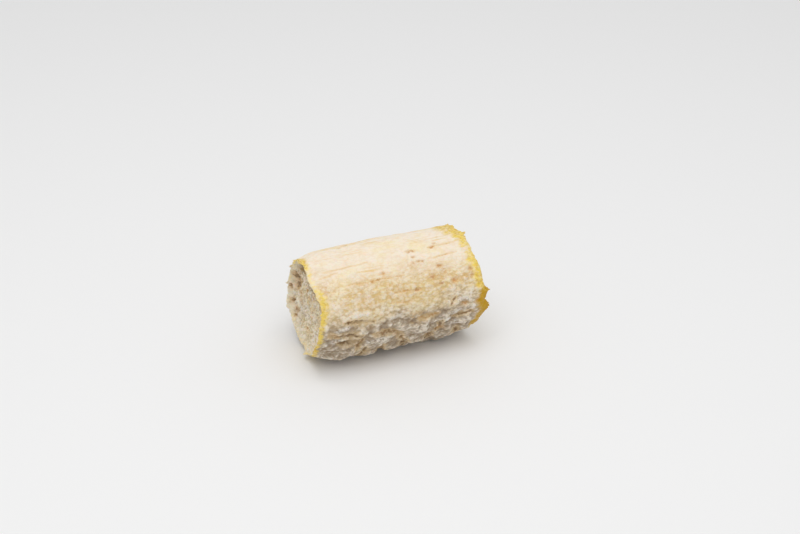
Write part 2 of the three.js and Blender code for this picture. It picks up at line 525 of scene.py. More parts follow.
hollows = [(on_left_face(*place), *rest) for place, *rest in FACE_HOLLOWS]
marks = {
    "Creases": marks_object("creases", lines_all_round(CREASES, seed=1)),
    "Rolls": marks_object("rolls", lines_all_round(ROLLS, seed=2)),
    "Pits": marks_object("pits", spots_all_round(PITS, seed=3) + hollows),
    "Stains": marks_object("stains", spots_all_round(STAINS, seed=4)),
}
for name, points in marks.items():
    print(name.lower(), "became", len(points.data.vertices), "points")

# %% [markdown]
# ## Wax round the ends
#
# At each end the rind turns waxy and yellow. The band is narrow in some places and wide in others, so each
# crest becomes a ring of points that carries the band's width and how deep its yellow is. Both are listed in
# equal steps round the log from the front, up over the top, down the back and underneath.

# %% Give each crest its band of wax
LEFT_WAX = [3.0, 5.0, 2.6, 3.6, 3.0, 2.2, 2.0, 2.2, 2.6, 3.0, 2.8, 2.6]
LEFT_YELLOW = [0.7, 0.72, 0.42, 0.76, 0.76, 0.5, 0.4, 0.4, 0.5, 0.6, 0.75, 0.8]
RIGHT_WAX = [5.5, 5.2, 4.4, 9.0, 10.5, 5.0, 3.0, 2.8, 3.0, 3.0, 3.0, 5.5]
RIGHT_YELLOW = [1.15, 0.7, 0.68, 0.77, 0.77, 0.6, 0.5, 0.5, 0.6, 0.5, 0.6, 1.1]


def round_the_log(values, share):
    """A list of values at equal steps round the log, joined smoothly. Share goes from 0 to 1 round it."""
    place = share * len(values)
    step = int(place)
    part = place - step
    blend = part * part * (3 - 2 * part)
    return values[step % len(values)] * (1 - blend) + values[(step + 1) % len(values)] * blend


def crest_object():
    places, widths, yellows = [], [], []
    for end, wax, yellow in ((-1, LEFT_WAX, LEFT_YELLOW), (1, RIGHT_WAX, RIGHT_YELLOW)):
        ring = crests[end]
        for number, place in enumerate(ring):
            places.append(place)
            widths.append(round_the_log(wax, number / len(ring)))
            yellows.append(round_the_log(yellow, number / len(ring)))
    return points_object("crests", places, width=widths, yellow=yellows)


marks["Crests"] = crest_object()
print("the band is", min(LEFT_WAX + RIGHT_WAX), "to", max(LEFT_WAX + RIGHT_WAX), "mm wide")

# %% [markdown]
# ## The rind's relief
#
# The relief follows a rule, so it is made by Geometry Nodes. The tree adds up the heights of folds, wrinkles,
# granules, creases, rolls and pits, and moves each point along its normal by that much. Where a point was
# before it moved is stored on it, and so are the marks, because the colours need both later.
#
# The heights are named inputs in millimetres, so that each kind of relief can be changed by itself.

# %% Start the relief tree and name its inputs
RELIEF_SIZES = {
    "Fold height": 1.8,
    "Wrinkle height": 0.7,
    "Granule height": 0.42,
    "Streak height": 0.05,
    "Wave height": 0.9,
    "Face lump height": 1.5,
    "Dish depth": 0.4,
    "Lip tear": 0.9,
    "Seed": 3.0,
}
relief_tree = bpy.data.node_groups.new("rind relief", "GeometryNodeTree")
identifiers = {}


def add_input(name, kind):
    """Adds a named input to the relief tree and notes the identifier that a modifier knows it by."""
    socket = relief_tree.interface.new_socket(name, in_out="INPUT", socket_type=kind)
    identifiers[name] = socket.identifier


add_input("Geometry", "NodeSocketGeometry")
for name in marks:
    add_input(name, "NodeSocketObject")
for name in RELIEF_SIZES:
    add_input(name, "NodeSocketFloat")
add_input("Material", "NodeSocketMaterial")
relief_tree.interface.new_socket("Geometry", in_out="OUTPUT", socket_type="NodeSocketGeometry")
print("relief tree:", len(identifiers), "inputs")

# %% [markdown]
# ### Helpers of the tree
#
# A mark changes the rind near it, so each point of the rind looks for the nearest point of the marks and
# reads the numbers that it carries. Pits and stains are a little longer along the log, because the distance
# to them is measured with the log squeezed.

# %% Write the helpers of the tree
SPOT_STRETCH = 1.5
group_in = relief_tree.nodes.new("NodeGroupInput")


def given(name):
    return Wire(find_socket(group_in.outputs, name))


def gn(kind, settings=None, sockets=None, out=0):
    return add_node(relief_tree, kind, settings, sockets, out)


def stored_number(name):
    return gn("GeometryNodeInputNamedAttribute", {"data_type": "FLOAT"}, {"Name": name}, "Attribute")


def nearest(points, place, names=("width", "depth", "warmth"), stretch=1.0):
    """The distance to the nearest of some points, in millimetres, and that point's named numbers."""
    geometry = gn("GeometryNodeObjectInfo", {}, {"Object": points}, "Geometry")
    index = gn("GeometryNodeSampleNearest", {}, {"Geometry": geometry, "Sample Position": place})

    def sample(kind, value):
        sockets = {"Geometry": geometry, "Value": value, "Index": index}
        return gn("GeometryNodeSampleIndex", {"data_type": kind}, sockets)

    spot = sample("FLOAT_VECTOR", gn("GeometryNodeInputPosition"))
    gap = spot.vector("SUBTRACT", place).vector("MULTIPLY", (1 / MM / stretch, 1 / MM, 1 / MM))
    return [gap.vector("LENGTH"), *(sample("FLOAT", stored_number(name)) for name in names)]


print("a mark carries", [attribute.name for attribute in marks["Pits"].data.attributes])

# %% [markdown]
# ### What the relief and the colours share
#
# The rind lies in zones: smooth on top, granular half-way down, folded below. Their edges wander, and the
# colours change at the same edges. The granules of the side and the crumbs of the end faces show in both too,
# so all of these are functions that take a place in millimetres.

# %% Write what the relief and the colours share


def seen_from_axis(place):
    """A place's height over the log's axis, its distance from the axis, and the one by the other."""
    _, y, z = place.parts()
    rise = z - AXIS_HEIGHT
    away = (y * y + rise * rise).math("SQRT").math("MAXIMUM", 1.0)
    return rise, away, rise / away


def zone_at(place):
    """1 on top of the log, 0 half-way down its side and -1 underneath, with edges that wander."""
    height = seen_from_axis(place)[2]
    wander = noise(drawn_out(place, 1.5), size=12.0, detail=2.0, seed=61.0) - 0.5
    return height + wander * (1 - abs(height))


def side_granules(place):
    longer = drawn_out(place, 1.4)
    coarse = granules(bend(longer, size=2.6, reach=0.5, seed=23.0), size=1.9, seed=5.0)
    small = granules(bend(longer, size=1.3, reach=0.3, seed=24.0), size=1.05, seed=9.0)
    return coarse * 0.6 + small * 0.4


def face_crumbs(place):
    coarse = granules(bend(place, size=2.4, reach=1.0, seed=81.0), size=2.2, seed=12.0)
    small = granules(bend(place, size=1.3, reach=0.5, seed=82.0), size=1.1, seed=14.0)
    return coarse * 0.5 + small * 0.5


print("the axis lies", round(AXIS_HEIGHT, 2), "mm up")

# %% [markdown]
# ### Places and zones
#
# A point belongs to an end face when its normal points along the log, and to the side when it points away
# from the axis. The lip lies between them, and the wax starts at its crest with a frayed edge. On the face,
# wax runs down only in patches.

# %% Find each point's zone and its wax
position = gn("GeometryNodeInputPosition")
normal = gn("GeometryNodeInputNormal")
place = position.scaled(1 / MM)
x, y, z = place.parts()
rise, away, height = seen_from_axis(place)
_, normal_y, normal_z = normal.parts()
facing_out = (normal_y * y + normal_z * rise) / away

face = facing_out.ramp(0.6, 0.15)
side = 1 - face
zone = zone_at(place)
low = zone.ramp(0.5, -0.15) * side
middle = zone.ramp(0.95, 0.6) * side
top = 1 - middle

crest_distance, wax_width, wax_yellow = nearest(given("Crests"), position, ("width", "yellow"))
at_crest = crest_distance.ramp(1.8, 0.4)
frayed = crest_distance + (noise(drawn_out(place, 4), size=1.7, detail=2.0, seed=11.0) - 0.5) * 6
wax_patches = (noise(place, size=7.0, detail=2.0, seed=83.0) + abs(height) * 0.25).ramp(0.58, 0.72)
inner_wax = frayed.ramp(2.2, 0.4) * face * wax_patches
outer_wax = frayed.ramp(wax_width * 1.15, wax_width * 0.6) * side
wax = outer_wax.math("MAXIMUM", inner_wax)
tell("zones and wax", relief_tree)

# %% [markdown]
# ### Folds, wrinkles and granules
#
# As the log dried, its skin shrank into folds underneath, where it carries the weight, and into fine wrinkles
# above them. Both run along the log, so their patterns are drawn out in that direction. The end faces have
# rounder lumps, because nothing pulled on them.

# %% Read the patterns of the rind
seed = given("Seed")
fold_place = bend(drawn_out(place, 1.9), size=8.0, reach=1.8, seed=21.0)
folds = puckered(fold_place, size=8.5, seed=seed)
wrinkle_place = bend(drawn_out(place, 1.3), size=4.0, reach=1.1, seed=22.0)
wrinkles = puckered(wrinkle_place, size=4.0, seed=seed + 7.0)
fine_wrinkle_place = bend(drawn_out(place, 1.4), size=2.5, reach=0.5, seed=26.0)
fine_wrinkles = puckered(fine_wrinkle_place, size=2.0, seed=seed + 8.0)
lumps = puckered(bend(place, size=5.0, reach=1.5, seed=25.0), size=4.6, seed=seed + 23.0)
streaks = noise(drawn_out(place, 14), size=1.3, detail=1.5, seed=seed + 17.0)
waves = noise(drawn_out(place, 1.6), size=9.0, detail=1.0, seed=seed + 31.0)
fluff = noise(place, size=1.4, detail=2.0, seed=27.0, roughness=0.6)
grains = side_granules(place)
tell("patterns", relief_tree)

# %% [markdown]
# ### Creases, rolls, pits and stains
#
# The marks were placed along straight lines and as round spots. Real ones are never so neat, so the place
# that looks for them is bent twice, broadly and finely, and their outlines wander.

# %% Read the marks
wandering = bend(place, size=6.0, reach=0.5, seed=31.0)
mark_place = bend(wandering, size=1.7, reach=0.3, seed=32.0).scaled(MM)

crease_distance, crease_width, crease_depth, crease_warmth = nearest(given("Creases"), mark_place)
uneven = (noise(place, size=2.0, detail=1.0, seed=33.0) * 1.9).math("MINIMUM", 1.0)
crease = crease_distance.ramp(crease_width, 0.0) * uneven

roll_distance, roll_width, roll_height, _ = nearest(given("Rolls"), mark_place)
roll = roll_distance.ramp(roll_width, 0.0) * roll_height

pit_distance, pit_width, pit_depth, pit_warmth = nearest(given("Pits"), mark_place, stretch=SPOT_STRETCH)
pit = pit_distance.ramp(pit_width, 0.0)
pit_rim = pit_distance.ramp(pit_width * 2, pit_width) * (1 - pit)

stain_distance, stain_width, _, stain_warmth = nearest(given("Stains"), mark_place, stretch=SPOT_STRETCH)
stain = stain_distance.ramp(stain_width, 0.0)
tell("marks", relief_tree)

# %% [markdown]
# ### All heights together
#
# Each pattern is centred by taking off about its mean, so that the log keeps its size, and is let in only in
# its own zone. Wax fills the small relief, so everything soft is calmer under it.

# %% Add up the heights, in millimetres
fold_height = given("Fold height") * low * (folds - 0.6)
wrinkle_sum = (wrinkles - 0.55) + (fine_wrinkles - 0.55) * 0.35
wrinkle_height = given("Wrinkle height") * (low * 0.65 + middle * 0.35) * wrinkle_sum
streak_height = given("Streak height") * top * (streaks - 0.5) * 2
wave_height = given("Wave height") * side * (waves - 0.5)
soft_height = (fold_height + wrinkle_height + streak_height + wave_height) * (1 - 0.8 * wax)

crumbs = grains - 0.4 + (fluff - 0.5) * 1.5
granule_height = given("Granule height") * (middle * 0.75 - low * 0.15 + 0.1) * crumbs

inside_lip = crest_distance.ramp(0.8, 4.0)
face_lumps = given("Face lump height") * ((lumps - 0.6) + (face_crumbs(place) - 0.4) * 0.5)
face_height = face * (inside_lip * (face_lumps - given("Dish depth")) + 0.3 * (grains - 0.4))

marks_height = roll + pit_rim * 0.15 - crease * crease_depth - pit * pit_depth * 1.3
relief = soft_height + granule_height + face_height + marks_height
tell("heights", relief_tree)

# %% [markdown]
# ### Numbers for the colours
#
# Valleys and creases are painted darker brown, partly brown mould and partly painted shade, and white bloom
# goes on what stands out. So the tree stores how deep in a valley a point is, how near it is to the marks,
# how waxy it is, and where it was at rest.

# %% Store the numbers that the colours read
# How deep in a valley a point is; the finish paints it darker brown, partly mould and partly painted shade.
wrinkle_dip = (1 - wrinkles) * 0.6 + (1 - fine_wrinkles) * 0.4
valley = (low * (1 - folds) * 0.5 + (low * 0.6 + middle * 0.4) * wrinkle_dip) * side
stored = {
    "relief": relief,
    "valley": valley + face * (1 - lumps) * 0.6,
    "crease_gap": crease_distance / crease_width.math("MAXIMUM", 0.1),
    "crease_depth": crease_depth,
    "crease_warmth": crease_warmth,
    "pit_gap": pit_distance / pit_width,
    "pit_warmth": pit_warmth,
    "roll": roll,
    "stain": stain * (0.4 + 0.6 * middle),
    "stain_warmth": stain_warmth,
    "wax": wax,
    "yellow": wax_yellow,
    "crest_gap": crest_distance,
    "face": face,
}


def store(geometry, name, kind, value):
    sockets = {"Geometry": geometry, "Name": name, "Value": value}
    return gn("GeometryNodeStoreNamedAttribute", {"data_type": kind}, sockets)


geometry = given("Geometry")
for name, value in stored.items():
    geometry = store(geometry, name, "FLOAT", value)
geometry = store(geometry, "rest", "FLOAT_VECTOR", place)
print("stored:", ", ".join(stored))

# %% [markdown]
# ### Move the surface
#
# The relief goes along the normal. The edge of the lip is torn as well, and a tear moves it along the log,
# ragged in some stretches and whole in others. Nothing may go below the surface that the log lies on.

# %% Move each point and end the tree
END_SHIFT = 50  # keeps the two ends apart in the noise, so that they tear differently

push = normal.scaled(stored_number("relief") * MM)
moved = gn("GeometryNodeSetPosition", {}, {"Geometry": geometry, "Offset": push})

end = x.math("SIGN")
ring_place = join(end * END_SHIFT, y, z)
ragged = noise(ring_place, size=9.0, detail=1.0, seed=42.0).ramp(0.4, 0.62)
tear = noise(ring_place, size=1.8, detail=2.0, seed=41.0, roughness=0.6) - 0.52
outward = end * (tear * (0.35 + 0.65 * ragged)) * at_crest * given("Lip tear") * 2 * MM
moved = gn("GeometryNodeSetPosition", {}, {"Geometry": moved, "Offset": join(outward, 0.0, 0.0)})

now_x, now_y, now_z = position.parts()
above_ground = join(now_x, now_y, now_z.math("MAXIMUM", 0.0))
moved = gn("GeometryNodeSetPosition", {}, {"Geometry": moved, "Position": above_ground})

real = gn("GeometryNodeRealizeInstances", {}, {"Geometry": moved})
finished = gn("GeometryNodeSetMaterial", {}, {"Geometry": real, "Material": given("Material")})
gn("NodeGroupOutput", {}, {"Geometry": finished})
print("relief tree:", len(relief_tree.nodes), "nodes")

# %% [markdown]
# ## The rind's finish
#
# The colours lie over each other as mould, bloom and wax do on the real rind, so they are mixed one after the
# other: the ground of the side, the end faces, the marks, and last the wax of the lips. The pale ones are
# close to each other, because a rind looks soft only when no patch stands out from the next.

# %% Name the colours and start the material


def srgb(red, green, blue):
    """A colour from the 0 to 255 values that a picture shows, in the linear values that a shader wants."""
    values = [channel / 255 for channel in (red, green, blue)]
    linear = [v / 12.92 if v <= 0.04045 else ((v + 0.055) / 1.055) ** 2.4 for v in values]
    return (*linear, 1)


CREAM = srgb(243, 229, 208)
PEACH = srgb(240, 218, 190)
BUTTER = srgb(244, 226, 182)
STRAW = srgb(230, 206, 146)
AMBER = srgb(234, 204, 152)
TAN = srgb(217, 187, 130)
BLOOM = srgb(243, 235, 222)
# The underside grey: partly the mould's own colour, partly painted shade.
ASH_AND_SHADE = srgb(219, 205, 184)
# A grey-brown for gaps and specks underneath and between the face's crumbs: partly colour, partly painted
# shade.
STONE_AND_SHADE = srgb(176, 160, 138)
# A dark brown for valleys, deep folds and the hollows of the end faces: partly mould, partly painted shade.
BARK_AND_SHADE = srgb(134, 110, 82)
HONEY = srgb(212, 168, 108)
RUST = srgb(206, 146, 88)
UMBER = srgb(172, 132, 88)
WAX = srgb(240, 211, 104)
MUSTARD = srgb(194, 150, 14)
CHALK = srgb(224, 211, 185)
PALE = srgb(236, 226, 202)
# The olive brown of the left face's top: partly mould, partly painted shadow of the overhanging lip.
OLIVE_AND_SHADE = srgb(128, 98, 58)

rind = bpy.data.materials.new("mould rind")
rind.use_nodes = True
rind_tree = rind.node_tree
shader = rind_tree.nodes["Principled BSDF"]


def sn(kind, settings=None, sockets=None, out=0):
    return add_node(rind_tree, kind, settings, sockets, out)


def attribute(name, out="Fac"):
    return sn("ShaderNodeAttribute", {"attribute_name": name}, {}, out)


def mix(first, second, share):
    settings = {"data_type": "RGBA", "clamp_factor": True}
    return sn("ShaderNodeMix", settings, {"Factor": share, "A": first, "B": second}, "Result")


print("material:", rind.name)

# %% [markdown]
# ### Where each colour goes
#
# The patterns are read at the place where a point was at rest, so that they don't slide on the relief. The
# zones and granules are the ones that the relief has, and the rest comes from the numbers that it stored.

# %% Read the stored numbers and find the zones
rest = attribute("rest", out="Vector")
rest_along, _, _ = rest.parts()
rest_rise, _, _ = seen_from_axis(rest)
on_face = attribute("face")
wax_share = attribute("wax")
yellow = attribute("yellow")
valley_share = attribute("valley")

shade_zone = zone_at(rest)
upper = shade_zone.ramp(0.5, 0.9)
# This mask turns the underside greyer and darker in the mixes below: partly the mould's own grey, partly
# painted shade.
lower = shade_zone.ramp(0.52, -0.08)
grain_share = side_granules(rest)
fine_mottle = noise(drawn_out(rest, 1.5), size=1.1, detail=3.0, seed=54.0, roughness=0.65)
tell("zones", rind_tree)

# %% [markdown]
# ### The side
#
# The side is cream on top, straw half-way down and ash grey underneath, with peach and buttery patches and
# amber streaks along the log. The grey and the darker tones of the underside are partly the mould's own
# colour and partly painted shade. Tan shows between the granules and in the stains, with the gaps greyer
# underneath, and the white bloom of the mould lies on what stands out.

# %% Mix the colours of the side
ground = mix(mix(STRAW, CREAM, upper), ASH_AND_SHADE, lower)
mottle = noise(drawn_out(rest, 2.0), size=3.0, detail=3.0, seed=52.0, roughness=0.6)
ground = mix(ground, PEACH, mottle.ramp(0.48, 0.62) * 0.7 * (1 - lower))
warm_patches = noise(drawn_out(rest, 2.2), size=8.0, detail=2.0, seed=75.0).ramp(0.48, 0.66)
ground = mix(ground, BUTTER, warm_patches * 0.75 * (1 - lower))

streak_place = bend(drawn_out(rest, 12), size=3.0, reach=0.5, seed=62.0)
streak_lines = noise(streak_place, size=1.0, detail=2.0, seed=53.0).ramp(0.5, 0.64)
streak_patches = noise(drawn_out(rest, 3), size=8.0, detail=1.0, seed=63.0).ramp(0.45, 0.6)
ground = mix(ground, AMBER, streak_lines * streak_patches * shade_zone.ramp(0.1, 0.5))

gaps = grain_share.ramp(0.45, 0.1)
# The gaps between granules turn grey-brown underneath: partly colour, partly painted shade.
ground = mix(ground, mix(TAN, STONE_AND_SHADE, lower), gaps * (0.8 - 0.65 * upper))
stain_colour = mix(TAN, HONEY, attribute("stain_warmth"))
ground = mix(ground, stain_colour, attribute("stain") * fine_mottle.ramp(0.38, 0.58) * 0.95)

blotch_place = bend(drawn_out(rest, 1.5), size=5.0, reach=1.0, seed=65.0)
blotches = noise(blotch_place, size=2.4, detail=4.0, seed=66.0, roughness=0.7)
standing_out = 1 - valley_share.ramp(0.1, 0.6)
bloom_share = (blotches + (grain_share - 0.4) * 0.18 + (standing_out - 0.6) * 0.12).ramp(0.38, 0.7)
ground = mix(ground, BLOOM, bloom_share * (0.6 + 0.28 * lower - 0.3 * upper))

speck_noise = noise(drawn_out(rest, 1.6), size=1.5, detail=2.0, seed=67.0, roughness=0.6)
specks = speck_noise.ramp(0.63, 0.74) * shade_zone.ramp(0.98, 0.7)
ground = mix(ground, mix(HONEY, STONE_AND_SHADE, lower), specks * (0.75 - 0.3 * lower))
tell("side", rind_tree)

# %% [markdown]
# ### The end faces
#
# The sunken faces are chalky and crumbly. The left one is darker and browner towards its top, partly from
# olive-brown mould and partly as painted shadow of the lip that overhangs it there, and both are palest in a
# band just inside the lip. The mottling is soft and comes in several sizes at once, because one size alone
# would look like pebbles.

# %% Mix the colours of the end faces
crest_gap = attribute("crest_gap")
face_wander = (noise(rest, size=12.0, detail=2.0, seed=68.0) - 0.5) * 44
# The top of the end faces, where the colours are darker: partly olive-brown mould, partly painted shadow of
# the overhanging lip.
upper_face_and_shadow = (rest_rise + face_wander).ramp(-6.0, 24.0) * rest_along.ramp(60.0, -20.0)
face_grain = face_crumbs(rest)
face_place = bend(rest, size=4.0, reach=1.0, seed=69.0)
face_blotches = noise(face_place, size=4.0, detail=4.0, seed=70.0, roughness=0.6)
soft_place = bend(rest, size=2.5, reach=0.6, seed=85.0)
soft_mottle = noise(soft_place, size=2.4, detail=4.0, seed=86.0, roughness=0.7)

buttery = noise(rest, size=6.0, detail=2.0, seed=56.0).ramp(0.44, 0.62)
chalky = mix(CHALK, BUTTER, buttery * 0.75)
blotched = (face_blotches + upper_face_and_shadow * 0.16).ramp(0.46, 0.62)
chalky = mix(chalky, mix(TAN, OLIVE_AND_SHADE, upper_face_and_shadow), blotched * 0.85)
mottled = soft_mottle.ramp(0.46, 0.3) * (0.55 + 0.25 * upper_face_and_shadow)
chalky = mix(chalky, mix(HONEY, OLIVE_AND_SHADE, upper_face_and_shadow), mottled)
# The gaps between the crumbs are painted darker: partly colour, partly painted shade.
chalky = mix(chalky, mix(STONE_AND_SHADE, OLIVE_AND_SHADE, upper_face_and_shadow), face_grain.ramp(0.4, 0.1) * 0.5)
face_bloom = face_grain * 0.34 + soft_mottle * 0.66 + fine_mottle * 0.3 - upper_face_and_shadow * 0.16
chalky = mix(chalky, BLOOM, face_bloom.ramp(0.5, 0.78) * 0.85)
pale_lip = (crest_gap + (fine_mottle - 0.5) * 4).ramp(5.0, 1.5)
chalky = mix(chalky, PALE, pale_lip * 0.7)
ground = mix(ground, chalky, on_face)
tell("end faces", rind_tree)

# %% [markdown]
# ### The marks
#
# Valleys are painted darker brown, most of all underneath, and rolls carry bloom; that brown is partly mould
# and partly painted shade. A crease is thin, broken and warm, in a faint amber halo, and the deep folds of
# the lower front are near-black brown, partly painted shade. A pit is darkest in its middle and
# honey-coloured round it, and on the end faces the hollows are painted darker, partly painted shade. Their
# edges crumble, which comes from adding fine noise to the stored distances before they are ramped.

# %% Colour the valleys, rolls, creases and pits
# Valleys are painted darker brown, most of all underneath: partly brown mould, partly painted shade.
ground = mix(ground, mix(HONEY, BARK_AND_SHADE, lower), valley_share.ramp(0.38, 0.98) * (0.3 + 0.38 * lower))
ground = mix(ground, BLOOM, attribute("roll").ramp(0.05, 0.6) * fine_mottle.ramp(0.35, 0.6) * 0.8)
crumbly = noise(drawn_out(rest, 1.6), size=0.8, detail=3.0, seed=71.0, roughness=0.7) - 0.5

broken = noise(drawn_out(rest, 2.5), size=1.8, detail=1.0, seed=72.0).ramp(0.4, 0.56)
# The coolest creases, the deep folds of the lower front, come out near-black brown: partly mould, partly
# painted shade.
crease_colour = mix(BARK_AND_SHADE, HONEY, attribute("crease_warmth").ramp(0.0, 0.7))
crease_gap = attribute("crease_gap") + crumbly * 1.6
crease_strength = attribute("crease_depth").ramp(0.0, 0.4) * 0.8 + 0.2
crease_share = crease_gap.ramp(0.6, 0.15) * (0.35 + 0.65 * broken) * crease_strength
ground = mix(ground, AMBER, crease_gap.ramp(1.4, 0.3) * 0.5)
ground = mix(ground, crease_colour, crease_share)

# On the end faces the pits and hollows are painted near-black brown: partly mould, partly painted shade.
pit_colour = mix(mix(UMBER, BARK_AND_SHADE, on_face), RUST, attribute("pit_warmth"))
pit_gap = attribute("pit_gap") + crumbly * 1.8
ground = mix(ground, HONEY, pit_gap.ramp(1.1, 0.4) * 0.42)
ground = mix(ground, pit_colour, pit_gap.ramp(0.5, 0.18) * (0.68 + 0.2 * on_face))

flecks = crumbly.ramp(0.06, 0.2) * shade_zone.ramp(1.0, 0.75) * (1 - on_face)
ground = mix(ground, mix(HONEY, STONE_AND_SHADE, lower), flecks * 0.35)
tell("marks", rind_tree)

# %% [markdown]
# ### The wax
#
# The wax of the lips runs from a buttery cream through fresh yellow to mustard where the stored yellow is
# deep. It is patchy, and the bloom creeps over it where it is pale.

# %% Mix the wax and lay it over the ground
fresh_wax = (noise(rest, size=3.0, detail=3.0, seed=84.0, roughness=0.6) + yellow * 0.5).ramp(0.62, 0.92)
deep_wax = (yellow + (fine_mottle - 0.5) * 1.2).ramp(0.6, 1.1)
waxy = mix(mix(BUTTER, WAX, fresh_wax), MUSTARD, deep_wax)
wax_bloom = noise(rest, size=1.4, detail=2.0, seed=57.0).ramp(0.55, 0.7)
waxy = mix(waxy, BLOOM, wax_bloom * (1.2 - yellow) * 0.6)
patch_noise = noise(rest, size=5.0, detail=4.0, seed=73.0, roughness=0.65)
patchy = (patch_noise + (yellow - 0.6) * 0.6).ramp(0.36, 0.52) * 0.75 + 0.25
colour = mix(ground, waxy, wax_share * patchy)
tell("wax", rind_tree)

# %% [markdown]
# ### Gloss and bump
#
# The mould is matt and the wax has a soft shine. What is finer than the mesh, such as the nap of the mould,
# is in the bump, and it is weaker on the wax and on the smooth top. The cheese lets a little light in under
# its surface, which softens all its shadows.

# %% Feed the shader
BUMP_HEIGHT = 0.3
SOFTNESS = {
    "Subsurface Weight": 0.2,
    "Subsurface Radius": (1.0, 0.6, 0.3),
    "Subsurface Scale": 0.45 * MM,
    "Sheen Weight": 0.06,
    "Sheen Roughness": 0.5,
    "Specular IOR Level": 0.3,
}

roughness = 0.85 - 0.4 * wax_share
nap = noise(rest, size=0.4, detail=3.0, seed=58.0, roughness=0.65)
rough_height = nap * 0.6 + grain_share * 0.5 + fine_mottle * 0.8
bump_sockets = {
    "Strength": 0.8,
    "Distance": BUMP_HEIGHT * MM,
    "Height": rough_height * (1 - 0.6 * wax_share) * (1 - 0.5 * upper),
}
bump = sn("ShaderNodeBump", {}, bump_sockets, "Normal")

for socket, wire in (("Base Color", colour), ("Roughness", roughness), ("Normal", bump)):
    rind_tree.links.new(wire.socket, shader.inputs[socket])
for socket, value in SOFTNESS.items():
    shader.inputs[socket].default_value = value
print("rind material:", len(rind_tree.nodes), "nodes")

# %% [markdown]
# ## Grow the rind
#
# The relief needs a mesh of small cells that are as even on the end faces as on the side, or their pattern
# would show through. So the form is rounded by a Subdivision Surface, remeshed into voxels and smoothed a
# little, and then the relief tree runs on it.
#
# The tree's inputs are set on the modifier by their identifiers before Blender evaluates the object for the
# first time. The evaluated result becomes a plain mesh of its own, so no modifier is left on it.

# %% Run the relief tree on the form
ROUNDING_LEVELS = 2
CELL = 0.5  # millimetres across a cell of the remeshed form
CALMING_STEPS = 4


def linked_object(name, mesh):
    piece = bpy.data.objects.new(name, mesh)
    scene.collection.objects.link(piece)
    return piece


def plain_mesh(source):
    """The mesh that an object's modifiers make. The object itself is removed."""
    evaluated = source.evaluated_get(bpy.context.evaluated_depsgraph_get())
    mesh = bpy.data.meshes.new_from_object(evaluated)
    bpy.data.objects.remove(source)
    return mesh


def even_form():
    mesh = bpy.data.meshes.new("form")
    form.to_mesh(mesh)
    source = linked_object("form", mesh)
    rounding = source.modifiers.new("rounding", "SUBSURF")
    rounding.levels = rounding.render_levels = ROUNDING_LEVELS
    remesh = source.modifiers.new("remesh", "REMESH")
    remesh.mode = "VOXEL"
    remesh.voxel_size = CELL * MM
    remesh.use_smooth_shade = True
    calming = source.modifiers.new("calming", "SMOOTH")
    calming.iterations = CALMING_STEPS
    return plain_mesh(source)


def grown_rind():
    source = linked_object("ungrown rind", even_form())
    modifier = source.modifiers.new("relief", "NODES")
    modifier.node_group = relief_tree
    for name, value in {**marks, **RELIEF_SIZES, "Material": rind}.items():
        modifier[identifiers[name]] = value
    return linked_object("rind", plain_mesh(source))


rind_piece = grown_rind()
form.free()
for points in marks.values():
    bpy.data.objects.remove(points)
rind_piece.data.calc_loop_triangles()
print("rind:", len(rind_piece.data.loop_triangles), "triangles")

# %% [markdown]
# ## Torn skin
#
# The waxy skin of each lip is torn, and it stands up in ragged strips and a few larger tags. It is thinner
# than the rind's own mesh could show, so it is a ribbon of its own: it is rooted just under the crest of the
# lip, and its height comes from noise round the log and from the list of tags.

# %% List the tags
# Larger tags: end, degrees round from the front and up, half their spread in degrees, height, outward lean
TAGS = [
    (-1, 94, 7.0, 2.7, 1.7),
    (-1, 101, 2.5, 1.6, 1.2),
    (-1, 110, 1.8, 1.9, 0.7),
    (-1, 117, 3.0, 0.5, 0.5),
    (-1, 281, 4.0, 0.9, 0.3),
    (-1, 288, 2.0, 0.5, 0.6),
    (1, 116, 6.0, 0.7, 1.1),
    (1, 103, 4.0, 0.5, 1.0),
    (1, 84, 2.4, 1.4, 0.7),
    (1, 79, 1.5, 0.5, 0.5),
    (1, 62, 1.8, 0.5, 0.3),
    (1, 13, 2.6, 1.2, 0.2),
    (1, 355, 7.0, 0.7, 0.3),
    (1, 340, 3.0, 0.4, 0.6),
]
HIDDEN_TAGS = 9  # more tags on the far side, placed by a seeded draw


def hidden_tags():
    draw = random.Random(12)
    tags = []
    for _ in range(HIDDEN_TAGS):
        end = draw.choice((-1, 1))
        angle = draw.uniform(130, 265)
        tags.append((end, angle, draw.uniform(1.5, 4.0), draw.uniform(0.5, 1.4), draw.uniform(0.1, 0.9)))
    return tags


all_tags = TAGS + hidden_tags()
print(len(all_tags), "tags")

# %% [markdown]
# ### How far the skin stands out
#
# Between the tags the skin is only a low frayed edge, rough in some stretches and nearly gone in others. The
# ribbon has to follow the lip as it was grown, so its crest is measured on the rind once more.

# %% Work out the skin's crest, height and lean
PROFILE_STEP = 2  # degrees
FACE_RADIUS = 18  # millimetres from the axis: what is nearer belongs to the end face
FRAY_HEIGHT = 0.4
HAIR_HEIGHT = 0.12
LEAN = 0.3
LEAN_CHANGE = 0.5


def crest_profile(end):
    """How far along and how far from the axis the grown lip's crest is, in equal steps round the log."""
    columns = 360 // PROFILE_STEP
    furthest = {}
    for vertex in rind_piece.data.vertices:
        x, y, z = vertex.co / MM
        out = math.hypot(y, z - AXIS_HEIGHT)
        column = round(degrees_up(y, z) / PROFILE_STEP) % columns
        if out > FACE_RADIUS and end * x > end * furthest.get(column, (0, 0))[0]:
            furthest[column] = (x, out)
    return [furthest[column] for column in range(columns)]


